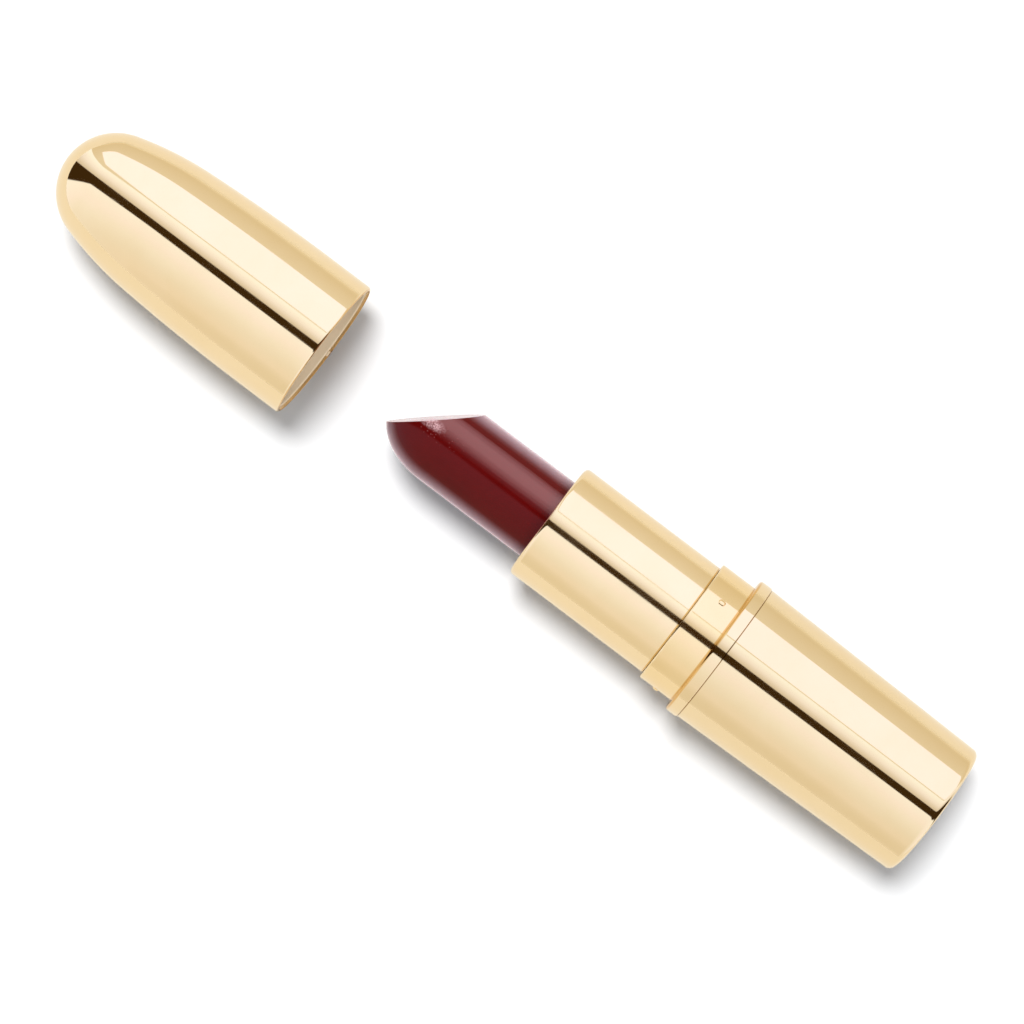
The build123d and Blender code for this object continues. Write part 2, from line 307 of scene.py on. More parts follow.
def mix(tree, fac, a, b, blend="MIX"):
    """Two colours mixed."""
    made = add_node(tree, "ShaderNodeMix", data_type="RGBA", blend_type=blend)
    for socket, value in ((made.inputs[0], fac), (made.inputs[6], a), (made.inputs[7], b)):
        if isinstance(value, bpy.types.NodeSocket):
            tree.links.new(value, socket)
        else:
            socket.default_value = (*value, 1.0) if isinstance(value, tuple) else value
    return made.outputs[2]


def new_group(name, inputs, outputs):
    """An empty shader node group with its named inputs and outputs."""
    group = bpy.data.node_groups.new(name, "ShaderNodeTree")
    for title, kind, value in inputs:
        socket = group.interface.new_socket(title, in_out="INPUT", socket_type=kind)
        if value is not None:
            socket.default_value = value
    for title, kind in outputs:
        group.interface.new_socket(title, in_out="OUTPUT", socket_type=kind)
    return group, group.nodes.new("NodeGroupInput"), group.nodes.new("NodeGroupOutput")


def use_group(tree, group, inputs):
    """One use of a node group, with its inputs."""
    made = tree.nodes.new("ShaderNodeGroup")
    made.node_tree = group
    for key, value in inputs.items():
        if isinstance(value, bpy.types.NodeSocket):
            tree.links.new(value, made.inputs[key])
        else:
            made.inputs[key].default_value = value
    return made


def new_material(name, **constants):
    """A material with its shader, its object coordinates, and its constant values."""
    material = bpy.data.materials.new(name)
    material.use_nodes = True
    tree = material.node_tree
    shader = tree.nodes["Principled BSDF"]
    for key, value in constants.items():
        shader.inputs[key.replace("_", " ")].default_value = value
    coordinates = tree.nodes.new("ShaderNodeTexCoord").outputs["Object"]
    return material, tree, shader, coordinates


def noise(tree, vector, scale, detail, **others):
    """A noise value. Others are its Roughness or its Distortion."""
    inputs = {"Vector": vector, "Scale": scale, "Detail": detail, **others}
    return add_node(tree, "ShaderNodeTexNoise", inputs).outputs["Fac"]


def stretch(tree, vector, scale):
    """Coordinates scaled by a different amount along each axis."""
    inputs = {"Vector": vector, "Scale": scale}
    return add_node(tree, "ShaderNodeMapping", inputs).outputs["Vector"]


def bump(tree, shader, height, strength, distance):
    """A bump from a height, in metres."""
    made = add_node(
        tree, "ShaderNodeBump", {"Height": height, "Strength": strength, "Distance": distance}
    )
    tree.links.new(made.outputs["Normal"], shader.inputs["Normal"])


# ---------------------------------------------------------------- shared effects


def make_handling():
    """Fingered smudges, fine hairlines along the case, and a faint mottle, in three masks."""
    group, given, result = new_group(
        "handling",
        (
            ("Vector", "NodeSocketVector", None),
            ("Smudge Size", "NodeSocketFloat", 5.0),
            ("Smudge Amount", "NodeSocketFloat", 0.05),
            ("Hairline Amount", "NodeSocketFloat", 0.05),
            ("Base Roughness", "NodeSocketFloat", 0.05),
        ),
        (
            ("Roughness", "NodeSocketFloat"),
            ("Height", "NodeSocketFloat"),
            ("Mottle", "NodeSocketFloat"),
        ),
    )
    place = given.outputs["Vector"]
    per_metre = maths(group, "DIVIDE", 1 / MM, given.outputs["Smudge Size"])
    smudge = noise(group, place, per_metre, 4.0, Roughness=0.62, Distortion=0.4)
    smear = ramp(group, smudge, ((0.42, 0.0), (0.72, 1.0)), "EASE")
    hair = noise(group, stretch(group, place, (60.0, 5200.0, 5200.0)), 1.0, 2.0)
    hairline = ramp(group, hair, ((0.60, 0.0), (0.68, 1.0), (0.74, 0.0)))
    grain = noise(group, place, 2600.0, 3.0)
    smudged, plain = given.outputs["Smudge Amount"], given.outputs["Base Roughness"]
    smeared = maths(group, "MULTIPLY_ADD", smear, smudged, plain)
    scratched = maths(group, "MULTIPLY_ADD", hairline, given.outputs["Hairline Amount"], smeared)
    group.links.new(scratched, result.inputs["Roughness"])
    scored = maths(group, "MULTIPLY_ADD", hairline, -0.6, grain)
    group.links.new(scored, result.inputs["Height"])
    group.links.new(smudge, result.inputs["Mottle"])
    return group


def station_group(name, width):
    """A group whose mask depends on how far along the case a point is from a station, and that
    distance in widths."""
    group, given, result = new_group(
        name,
        (
            ("Vector", "NodeSocketVector", None),
            ("Station", "NodeSocketFloat", 0.0),
            ("Width", "NodeSocketFloat", width),
        ),
        (("Mask", "NodeSocketFloat"),),
    )
    place = given.outputs["Vector"]
    along = add_node(group, "ShaderNodeSeparateXYZ", {"Vector": place}).outputs["X"]
    away = maths(group, "ABSOLUTE", maths(group, "SUBTRACT", along, given.outputs["Station"]))
    widths = maths(group, "DIVIDE", away, given.outputs["Width"])
    return group, place, result, widths


def make_edge_wear():
    """A mask along the rounded edges of a turned piece, broken up by noise."""
    group, place, result, widths = station_group("edge_wear", 0.4 * MM)
    near = maths(group, "SUBTRACT", 1.0, widths, clamp=True)
    broken = ramp(group, noise(group, place, 900.0, 5.0), ((0.40, 0.0), (0.62, 1.0)))
    group.links.new(maths(group, "MULTIPLY", near, broken), result.inputs["Mask"])
    return group


def make_painted_join_shade():
    """A mask that rises towards a station along the case, where two pieces meet, to paint shade
    into the join.
    """
    group, _, result, widths = station_group("painted_join_shade", 0.2 * MM)
    group.links.new(ramp(group, widths, ((0.5, 1.0), (1.0, 0.0)), "EASE"), result.inputs["Mask"])
    return group


HANDLING = make_handling()
EDGE_WEAR = make_edge_wear()
PAINTED_JOIN_SHADE = make_painted_join_shade()


# ---------------------------------------------------------------- materials

PALE_GOLD = (0.910, 0.725, 0.465)
DEEP_GOLD = (0.875, 0.672, 0.395)
BASE_GOLD = (0.885, 0.705, 0.450)
BASE_DEEP_GOLD = (0.848, 0.652, 0.382)
RING_GOLD = (0.907, 0.702, 0.412)
RING_DEEP_GOLD = (0.868, 0.646, 0.346)
RUBBED_GOLD = (0.94, 0.80, 0.58)
# Painted amber shade and reflection in the corners and gaps where gold pieces meet
PAINTED_AMBER_SHADE = (0.72, 0.42, 0.13)
# Painted dark shade in the seam between the base collar and the base shell
PAINTED_SEAM_SHADE = (0.36, 0.22, 0.09)
WAX_RED = (0.041, 0.0007, 0.0007)
WAX_CLOUD = (0.72, 0.70, 0.70)
# Pale pink of the painted sheen that the stick's colour turns to at grazing angles
WAX_PAINTED_SHEEN = (0.390, 0.280, 0.325)
WAX_FROST = (0.30, 0.19, 0.20)
# Lighter pink of the beads of oil, a painted glint on each bead
WAX_OIL_GLINT = (0.22, 0.07, 0.07)
PAPER_WHITE = (0.83, 0.80, 0.75)
PAPER_FIBRE = (0.72, 0.68, 0.62)

# Heights of the bumps, in metres
PLATE_GRAIN = 0.0006 * MM
PLASTIC_GRAIN = 0.004 * MM
WAX_RELIEF = 0.03 * MM
TURNING_RELIEF = 0.008 * MM
FIBRE_RELIEF = 0.01 * MM

# Centre, and reach along and across, of the frosted patch and the beads of oil on the stick
FROST_CENTRE, FROST_REACH = (STICK_TIP - 5.0 * MM, -1.0 * MM, 0), (2.6 * MM, 1.0 * MM)
BEADS_CENTRE, BEADS_REACH = (STICK_TIP - 7.2 * MM, -0.3 * MM, 0), (4.2 * MM, 1.4 * MM)


def gold_plate(name, colour, deeper, roughness, worn_station, painted_join_shade):
    """Polished, anodised aluminium: a mirror with a breath of smudges and a worn edge. The painted
    join shade is the station, width and tint of a line of painted shade where the piece meets its
    neighbour."""
    material, tree, shader, place = new_material(name, Metallic=1.0)
    handled = use_group(
        tree,
        HANDLING,
        {
            "Vector": place,
            "Smudge Size": 7.0,
            "Smudge Amount": 0.035,
            "Hairline Amount": 0.03,
            "Base Roughness": roughness,
        },
    )
    worn = use_group(tree, EDGE_WEAR, {"Vector": place, "Station": worn_station})
    toned = mix(tree, handled.outputs["Mottle"], colour, deeper)
    rubbed = maths(tree, "MULTIPLY", worn.outputs["Mask"], 0.5)
    station, width, tint = painted_join_shade
    # Painted shade along the line where the piece meets its neighbour
    shade_at_join = use_group(tree, PAINTED_JOIN_SHADE, {"Vector": place, "Station": station, "Width": width})
    with_painted_shade = mix(tree, shade_at_join.outputs["Mask"], mix(tree, rubbed, toned, RUBBED_GOLD), tint)
    tree.links.new(with_painted_shade, shader.inputs["Base Color"])
    dulled = maths(tree, "MULTIPLY_ADD", worn.outputs["Mask"], 0.10, handled.outputs["Roughness"])
    tree.links.new(dulled, shader.inputs["Roughness"])
    bump(tree, shader, handled.outputs["Height"], 0.35, PLATE_GRAIN)
    return material


def moulded_plastic(name, colour, shade, roughness, **constants):
    """Injection-moulded plastic with a fine grain and faint flow marks."""
    material, tree, shader, place = new_material(name, **constants)
    handled = use_group(
        tree,
        HANDLING,
        {
            "Vector": place,
            "Smudge Size": 4.0,
            "Smudge Amount": 0.10,
            "Hairline Amount": 0.04,
            "Base Roughness": roughness,
        },
    )
    flow = noise(tree, place, 260.0, 2.0, Distortion=1.2)
    tree.links.new(mix(tree, flow, colour, shade), shader.inputs["Base Color"])
    tree.links.new(handled.outputs["Roughness"], shader.inputs["Roughness"])
    bump(tree, shader, handled.outputs["Height"], 0.5, PLASTIC_GRAIN)
    return material


def patch(tree, place, centre, reach):
    """A soft oval mask on the upper half of the stick."""
    scale = (1 / reach[0], 1 / reach[1], 0.0)
    location = tuple(-c * k for c, k in zip(centre, scale))
    moved = add_node(
        tree, "ShaderNodeMapping", {"Vector": place, "Location": location, "Scale": scale}
    ).outputs["Vector"]
    oval = add_node(tree, "ShaderNodeTexGradient", {"Vector": moved}, gradient_type="SPHERICAL")
    height = add_node(tree, "ShaderNodeSeparateXYZ", {"Vector": place}).outputs["Z"]
    on_top = maths(tree, "GREATER_THAN", height, AXIS_HEIGHT)
    soft = ramp(tree, oval.outputs["Fac"], ((0.0, 0.0), (0.7, 1.0)))
    return maths(tree, "MULTIPLY", soft, on_top)


def wax():
    """Glossy wine-red lipstick whose colour turns pale at grazing angles as a painted sheen, and a
    frosted patch and beads of oil near its nose, the beads painted lighter as painted glints."""
    material, tree, shader, place = new_material(
        "stick_wax",
        IOR=1.30,
        Specular_Tint=(1.0, 0.60, 0.60, 1.0),
        Subsurface_Weight=0.05,
        Subsurface_Scale=0.5 * MM,
    )
    # Painted sheen: the colour is mixed towards a pale pink where the surface is seen at a grazing
    # angle
    grazing = add_node(tree, "ShaderNodeLayerWeight", {"Blend": 0.5}).outputs["Facing"]
    painted_sheen = ramp(
        tree, grazing, ((0.34, 0.0), (0.40, 0.04), (0.56, 0.21), (0.69, 0.34), (1.0, 1.0))
    )
    cloud = noise(tree, place, 420.0, 4.0, Roughness=0.6)
    red = mix(tree, cloud, mix(tree, painted_sheen, WAX_RED, WAX_PAINTED_SHEEN), WAX_CLOUD, "MULTIPLY")

    speckle = noise(tree, place, 3800.0, 3.0, Roughness=0.7)
    frosty = ramp(tree, speckle, ((0.40, 0.1), (0.66, 0.9)))
    frost = maths(tree, "MULTIPLY", patch(tree, place, FROST_CENTRE, FROST_REACH), frosty)
    cells = add_node(
        tree, "ShaderNodeTexVoronoi", {"Vector": place, "Scale": 2400.0, "Randomness": 1.0}
    )
    drop = ramp(tree, cells.outputs["Distance"], ((0.10, 1.0), (0.24, 0.0)), "EASE")
    few = ramp(tree, cells.outputs["Color"], ((0.45, 0.0), (0.50, 1.0)))
    some = maths(tree, "MULTIPLY", drop, few)
    beads = maths(tree, "MULTIPLY", some, patch(tree, place, BEADS_CENTRE, BEADS_REACH))
    frosted = mix(tree, frost, red, WAX_FROST)
    # The beads of oil are painted a lighter pink, a painted glint on each bead
    bead_glint_share = maths(tree, "MULTIPLY", beads, 0.45)
    tree.links.new(mix(tree, bead_glint_share, frosted, WAX_OIL_GLINT), shader.inputs["Base Color"])

    drawn = noise(tree, stretch(tree, place, (90.0, 1500.0, 1500.0)), 1.0, 3.0)
    glossy = ramp(tree, drawn, ((0.3, 0.12), (0.75, 0.19)))
    dull = mix(tree, frost, glossy, (0.45, 0.45, 0.45))
    tree.links.new(mix(tree, beads, dull, (0.06, 0.06, 0.06)), shader.inputs["Roughness"])
    height = maths(tree, "MULTIPLY_ADD", beads, 3.0, maths(tree, "MULTIPLY", drawn, 0.25))
    bump(tree, shader, height, 0.8, WAX_RELIEF)
    return material


def satin_metal(name, colour, roughness):
    """Machined steel with its turning marks."""
    material, tree, shader, place = new_material(name, Metallic=1.0)
    marks = noise(tree, stretch(tree, place, (4000.0, 120.0, 120.0)), 1.0, 2.0)
    toned = mix(tree, marks, colour, tuple(c * 0.8 for c in colour))
    tree.links.new(toned, shader.inputs["Base Color"])
    dulled = ramp(tree, marks, ((0.3, roughness), (0.7, roughness + 0.2)))
    tree.links.new(dulled, shader.inputs["Roughness"])
    bump(tree, shader, marks, 0.4, TURNING_RELIEF)
    return material


def paper():
    """Plain label paper with its fibres."""
    material, tree, shader, place = new_material("label_paper", Roughness=0.62)
    fibre = noise(tree, place, 3200.0, 6.0, Distortion=1.5)
    tree.links.new(mix(tree, fibre, PAPER_WHITE, PAPER_FIBRE), shader.inputs["Base Color"])
    bump(tree, shader, fibre, 0.5, FIBRE_RELIEF)
    return material


# The last argument of each plate is its line of painted shade at a join
gold_base = gold_plate(
    "gold_base", BASE_GOLD, BASE_DEEP_GOLD, 0.045, FOOT, (SHELL_TOP, 0.16 * MM, PAINTED_SEAM_SHADE)
)
gold_collar = gold_plate(
    "gold_collar", BASE_GOLD, BASE_DEEP_GOLD, 0.045, SHOULDER, (SHOULDER, 0.42 * MM, PAINTED_AMBER_SHADE)
)
gold_ring = gold_plate(
    "gold_ring", RING_GOLD, RING_DEEP_GOLD, 0.07, RING_TOP, (SHOULDER, 0.24 * MM, PAINTED_AMBER_SHADE)
)
gold_tube = gold_plate(
    "gold_tube", PALE_GOLD, DEEP_GOLD, 0.075, TUBE_MOUTH, (TUBE_BOTTOM, 0.14 * MM, PAINTED_AMBER_SHADE)
)
gold_cap = gold_plate(
    "gold_cap", PALE_GOLD, DEEP_GOLD, 0.045, CAP_MOUTH, (CAP_MOUTH, 0.14 * MM, PAINTED_AMBER_SHADE)
)
liner_plastic = moulded_plastic("liner_plastic", (0.75, 0.61, 0.43), (0.69, 0.55, 0.37), 0.42)
insert_plastic = moulded_plastic("insert_plastic", (0.80, 0.78, 0.72), (0.72, 0.70, 0.64), 0.38)
mechanism_plastic = moulded_plastic(
    "mechanism_plastic", (0.86, 0.85, 0.81), (0.80, 0.78, 0.74), 0.30, Subsurface_Weight=0.05
)
sleeve_plastic = moulded_plastic("sleeve_plastic", (0.64, 0.45, 0.21), (0.56, 0.38, 0.17), 0.35)
cup_plastic = moulded_plastic("cup_plastic", (0.80, 0.60, 0.34), (0.74, 0.54, 0.29), 0.25)
brake_silicone = moulded_plastic("brake_silicone", (0.42, 0.40, 0.38), (0.34, 0.33, 0.31), 0.48)
weight_steel = satin_metal("weight_steel", (0.58, 0.57, 0.55), 0.28)
label_paper = paper()
stick_wax = wax()


# ---------------------------------------------------------------- the base


def make_base_shell():
    slope = math.atan2(BASE_RADIUS - FOOT_RADIUS, SHELL_TOP - FOOT)
    rise = FOOT_ROUNDING * math.tan(math.pi / 4 - slope / 2)
    inner_top = BASE_RADIUS - BASE_WALL / math.cos(slope)
    inner_foot = inner_top - (SHELL_TOP - FOOT - FOOT_THICKNESS) * math.tan(slope)
    recess = LABEL_RADIUS + LABEL_MARGIN
    outline = Outline(FOOT + LABEL_RECESS, 0)
    outline.straight(FOOT + LABEL_RECESS, recess)
    outline.straight(FOOT, recess)
    outline.straight(FOOT, FOOT_RADIUS - rise)
    outline.bend(FOOT_ROUNDING, math.degrees(slope) - 90)
    outline.straight(SHELL_TOP - SEAM_ROUNDING, BASE_RADIUS - SEAM_ROUNDING * math.tan(slope))
    outline.bend(SEAM_ROUNDING, -90 - math.degrees(slope), step=15)
    outline.straight(SHELL_TOP, inner_top)
    outline.straight(FOOT + FOOT_THICKNESS, inner_foot)
    outline.straight(FOOT + FOOT_THICKNESS, 0)
    return piece("base_shell_skin", outline.turned(), "base", gold_base, "base_shell")


def make_base_collar():
    outline = Outline(SHELL_TOP, SKIRT_RADIUS)
    outline.straight(SHELL_TOP, COLLAR_RADIUS - SEAM_ROUNDING)
    outline.bend(SEAM_ROUNDING, -90, step=15)
    outline.straight(SHOULDER - COLLAR_ROUNDING, COLLAR_RADIUS)
    outline.bend(COLLAR_ROUNDING, -90, step=8)
    outline.straight(SHOULDER, SKIRT_RADIUS)
    outline.close()
    mesh = outline.turned()
    return piece("base_collar_trim", mesh, "base", gold_collar, "base_collar")


def make_snap_collar():
    outline = Outline(SKIRT_BOTTOM, RING_BORE)
    outline.straight(SKIRT_BOTTOM, SKIRT_RADIUS)
    outline.straight(SHOULDER, SKIRT_RADIUS)
    outline.straight(SHOULDER, RING_RADIUS)
    outline.straight(RING_TOP - RING_ROUNDING, RING_RADIUS)
    outline.bend(RING_ROUNDING, -90, step=10)
    outline.straight(RING_TOP, RING_BORE)
    outline.close()
    mesh = outline.turned()
    sphere = (NIB_FOOT_RADIUS**2 + NIB_HEIGHT**2) / (2 * NIB_HEIGHT)
    for count in range(NIB_COUNT):
        turn = Matrix.Rotation(math.radians(NIB_FIRST_ANGLE + 360 * count / NIB_COUNT), 3, ALONG)
        outwards = turn @ Vector((0, 0, 1))
        station = Vector((SHOULDER + NIB_RISE, 0, 0)) + AXIS
        centre = station + outwards * (RING_RADIUS + NIB_HEIGHT - sphere)
        made = bmesh.ops.create_uvsphere(
            mesh, u_segments=32, v_segments=16, radius=sphere, matrix=Matrix.Translation(centre)
        )
        faces = {face for vert in made["verts"] for face in vert.link_faces}
        edges = {edge for vert in made["verts"] for edge in vert.link_edges}
        cut = bmesh.ops.bisect_plane(
            mesh,
            geom=[*made["verts"], *edges, *faces],
            plane_co=station + outwards * (RING_RADIUS - NIB_HEIGHT / 2),
            plane_no=outwards,
            clear_inner=True,
        )
        rim = [e for e in cut["geom_cut"] if isinstance(e, bmesh.types.BMEdge)]
        bmesh.ops.edgeloop_fill(mesh, edges=rim)
    bmesh.ops.recalc_face_normals(mesh, faces=mesh.faces)
    return piece("snap_collar_ring", mesh, "base", gold_ring, "snap_collar")


def make_shade_label():
    low, high = span("shade_label")
    outline = Outline(low, 0)
    outline.straight(low, LABEL_RADIUS)
    outline.straight(high, LABEL_RADIUS)
    outline.straight(high, 0)
    mesh = outline.turned()
    return piece("shade_label_disc", mesh, "base", label_paper, "shade_label")


# ---------------------------------------------------------------- the turning tube and the stick


def make_gold_tube():
    core_rounding = TUBE_ROUNDING - TUBE_WALL
    outline = Outline(TUBE_BOTTOM - GAP_CLOSING, SLEEVE_RADIUS)
    outline.straight(TUBE_BOTTOM - GAP_CLOSING, TUBE_RADIUS)
    outline.straight(TUBE_MOUTH - TUBE_ROUNDING, TUBE_RADIUS)
    outline.bend(TUBE_ROUNDING, -90, step=5)
    outline.straight(TUBE_MOUTH, TUBE_LIP_RADIUS)
    outline.straight(TUBE_MOUTH - TUBE_WALL, TUBE_LIP_RADIUS)
    outline.straight(TUBE_MOUTH - TUBE_WALL, SLEEVE_RADIUS - core_rounding)
    outline.heading = math.pi / 2
    outline.bend(core_rounding, 90, step=8)
    outline.close()
    return piece("gold_tube_skin", outline.turned(), "tube", gold_tube, "gold_tube")


def make_stick():
    nose_start = NOSE_APEX - NOSE_LENGTH
    outline = Outline(STICK_BOTTOM, 0)
    outline.straight(STICK_BOTTOM, STICK_RADIUS)
    outline.straight(nose_start, STICK_RADIUS)
    drawn = set(outline.mesh.verts)
    outline.bend(STICK_RADIUS, -90)
    arc = [v for v in outline.mesh.verts if v not in drawn]
    bmesh.ops.scale(
        outline.mesh,
        vec=(NOSE_LENGTH / STICK_RADIUS, 1, 1),
        space=Matrix.Translation((-nose_start, 0, 0)),
        verts=arc,
    )
    mesh = outline.turned()
    slant_normal = Vector(
        (
            math.sin(SLANT_ANGLE),
            -math.cos(SLANT_ANGLE) * math.cos(SLANT_ROLL),
            math.cos(SLANT_ANGLE) * math.sin(SLANT_ROLL),
        )
    )
    cut = bmesh.ops.bisect_plane(
        mesh,
        geom=mesh.verts[:] + mesh.edges[:] + mesh.faces[:],
        plane_co=Vector((NOSE_APEX - SLANT_DROP, 0, 0)) + AXIS,
        plane_no=slant_normal,
        clear_outer=True,
    )
    rim = [e for e in cut["geom_cut"] if isinstance(e, bmesh.types.BMEdge)]
    bmesh.ops.edgeloop_fill(mesh, edges=rim)
    bmesh.ops.recalc_face_normals(mesh, faces=mesh.faces)
    bmesh.ops.bevel(
        mesh,
        geom=rim,
        offset=SLANT_ROUNDING,
        offset_type="OFFSET",
        affect="EDGES",
        segments=3,
        profile=0.5,
        material=-1,
        clamp_overlap=True,
    )
    made = piece(
        "wax_stick", mesh, "carrier", stick_wax, "lipstick_stick", crease=40.0
    )
    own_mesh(made)
    return made


# ---------------------------------------------------------------- the cap

CAP_NOSE_START_ANGLE = CAP_BELLY_ANGLE + CAP_SHOULDER_ANGLE


def bullet(outline, inset, outwards):
    """The cap's curved side, moved inwards by inset, drawn to the nose or back from it."""
    belly = CAP_BELLY_RADIUS - inset
    shoulder = CAP_SHOULDER_RADIUS - inset
    nose = CAP_NOSE_RADIUS - inset
    arcs = (
        (belly, CAP_BELLY_ANGLE, 0.4),
        (shoulder, CAP_SHOULDER_ANGLE, 0.8),
        (nose, 90 - CAP_NOSE_START_ANGLE, 1.5),
    )
    side = 1 if outwards else -1
    for radius, angle, step in arcs[::-side]:
        outline.bend(radius, side * angle, step)


def nose_radius():
    """Radius of the nose arc, which ends on the axis where the other arcs leave it."""
    belly, nose_start = math.radians(CAP_BELLY_ANGLE), math.radians(CAP_NOSE_START_ANGLE)
    belly_drop = CAP_BELLY_RADIUS * (1 - math.cos(belly))
    shoulder_drop = CAP_SHOULDER_RADIUS * (math.cos(belly) - math.cos(nose_start))
    return (CAP_RADIUS - belly_drop - shoulder_drop) / math.cos(nose_start)


CAP_NOSE_RADIUS = nose_radius()


def bullet_wall(outer_inset, inner_inset, mouth, outer_rounding, inner_rounding, groove=None):
    """A wall of the cap between two insets, with a mouth rounded at its outer and inner edge, and
    perhaps a groove inside, from its two stations and its radius."""
    straight_end = CAP_MOUTH + CAP_STRAIGHT
    outer, inner = CAP_RADIUS - outer_inset, CAP_RADIUS - inner_inset
    outline = Outline(mouth, outer - outer_rounding, heading=90)
    outline.bend(outer_rounding, -90, step=8)
    outline.straight(straight_end, outer)
    bullet(outline, outer_inset, outwards=False)
    outline.straight(CAP_NOSE - inner_inset, 0)
    outline.heading = math.pi / 2
    bullet(outline, inner_inset, outwards=True)
    if groove is not None:
        low, high, radius = groove
        outline.straight(high, inner)
        outline.straight(high, radius)
        outline.straight(low, radius)
        outline.straight(low, inner)
    outline.straight(mouth + inner_rounding, inner)
    outline.bend(inner_rounding, -90, step=15)
    outline.close()
    return outline.turned()


def make_cap_shell():
    mesh = bullet_wall(0, CAP_WALL, CAP_MOUTH, CAP_MOUTH_ROUNDING, EDGE_BREAK)
    return piece("cap_shell_skin", mesh, "cap", gold_cap, "cap_shell")


def make_cap_liner():
    inset = CAP_WALL + LINER_WALL
    reach = NIB_FOOT_RADIUS + SNAP_GAP
    snap = CAP_MOUTH + NIB_RISE
    groove = (snap - reach, snap + reach, RING_RADIUS + NIB_HEIGHT + SNAP_GAP)
    mesh = bullet_wall(CAP_WALL, inset, LINER_MOUTH, EDGE_BREAK, LINER_MOUTH_ROUNDING, groove)
    gate_drop = CAP_RADIUS - CAP_WALL - GATE_HEIGHT / 2
    gate = Vector((LINER_MOUTH - GATE_LENGTH / 2, 0, -gate_drop)) + AXIS
    size = Matrix.Diagonal((GATE_LENGTH, GATE_WIDTH, GATE_HEIGHT, 1))
    made = bmesh.ops.create_cube(mesh, size=1, matrix=Matrix.Translation(gate) @ size)
    edges = list({edge for vert in made["verts"] for edge in vert.link_edges})
    bmesh.ops.bevel(
        mesh, geom=edges, offset=EDGE_BREAK, affect="EDGES", segments=2, profile=0.5, material=-1
    )
    return piece("cap_liner_skin", mesh, "cap", liner_plastic, "cap_liner")


make_base_shell()
make_base_collar()
make_snap_collar()
make_shade_label()
make_gold_tube()
stick = make_stick()
make_cap_shell()
liner = make_cap_liner()

# CAD nodes whose shape stays as it is, and the material that each one gets
CARRIED_OVER = {
    "base_weight": weight_steel,
    "base_insert": insert_plastic,
    "guide_tube": mechanism_plastic,
    "brake_ring": brake_silicone,
    "cam_sleeve": sleeve_plastic,
    "stick_cup": cup_plastic,
}
for node_name, finish in CARRIED_OVER.items():
    for material_slot in frame["nodes"][node_name].material_slots:
        material_slot.material = finish


# ---------------------------------------------------------------- studio

# The camera looks down from over the base, and turns a little to hold the whole case in view
VIEW_CENTRE = AXIS + Vector((-3.55 * MM, 2.05 * MM, 0))
VIEW_WIDTH = 135.4 * MM
VIEW_TURN = math.radians(37.1)
CAMERA_PLACE = AXIS + Vector((-20.4 * MM, 2.05 * MM, 566 * MM))

# The floor, and the sheet of paper that mirrors in the gold, which fades out behind and in front
FLOOR_SIZE = 3.0
FLOOR_WHITE = (0.93, 0.93, 0.93)
PAPER_IN_GOLD = (0.80, 0.775, 0.705)
PAPER_BACK = (-52 * MM, -30 * MM)
PAPER_FRONT = (80 * MM, 105 * MM)
PAPER_END = cad_box[1].x + 50 * MM

# The panels round the case. Distances across are sines of the angle from overhead
FOOT_SLEW = 0.28
FRONT_FLARE = 1.35
BACK_WALL_EDGE = -0.374
KEY_PANEL = (1.26, 1.31, 1.68)
KEY_PANEL_EDGE = -0.398
KEY_PANEL_SPREAD = -0.34
KEY_PANEL_FOOT = 0.31
KEY_PANEL_FOOT_FALL = -0.25
AMBIENT = (0.414, 0.426, 0.444)
WALL_COLOURS = (
    (-0.5, (0.93, 0.89, 0.76)),
    (-0.27, (0.825, 0.76, 0.60)),
    (0.1, (0.874, 0.83, 0.722)),
    (0.3, (0.903, 0.877, 0.783)),
)
SATIN = (0.806, 0.783, 0.757)
DARK_GAP = (0.049, 0.026, 0.007)
OVERHEAD_COLOURS = (
    (-0.33, (1.15, 1.28, 1.50)),
    (-0.30, (1.136, 1.245, 1.45)),
    (-0.20, (1.06, 1.10, 1.28)),
    (-0.055, SATIN),
    (-0.035, SATIN),
    (-0.025, DARK_GAP),
    (0.155, DARK_GAP),
    (0.165, (1.126, 1.217, 1.41)),
    (0.39, (1.113, 1.14, 1.32)),
    (0.60, (1.049, 1.088, 1.165)),
    (0.79, (0.985, 0.995, 1.0)),
    (0.93, (0.975, 0.947, 0.91)),
    (1.0, (0.875, 0.835, 0.72)),
)

# The overhead lamp is a sun as broad as a large soft box
OVERHEAD_TILT = math.radians(17)
OVERHEAD_BREADTH = 0.325
OVERHEAD_STRENGTH = 2.75

# The key card of the stick is three cards, one inside another, so that its edges are soft. Each
# is a width and a power, and hangs a little in front of the last
STICK_KEYS = ((0.68, 6.1), (0.48, 4.3), (0.26, 2.3))
STICK_KEY_DISTANCE = 0.54
STICK_KEY_STEP = 0.02
STICK_CARD_LENGTH = 0.9


def make_camera():
    camera = bpy.data.objects.new("camera", bpy.data.cameras.new("camera"))
    towards = VIEW_CENTRE - CAMERA_PLACE
    forward = towards.normalized()
    right = Vector((-math.cos(VIEW_TURN), -math.sin(VIEW_TURN), 0))
    right = (right - forward * right.dot(forward)).normalized()
    camera.rotation_euler = Matrix((right, right.cross(forward), -forward)).transposed().to_euler()
    camera.location = CAMERA_PLACE
    camera.data.sensor_width = 36.0
    camera.data.lens = camera.data.sensor_width * towards.length / VIEW_WIDTH
    camera.data.clip_start = 0.01
    camera.data.clip_end = 20
    bpy.context.scene.collection.objects.link(camera)
    bpy.context.scene.camera = camera


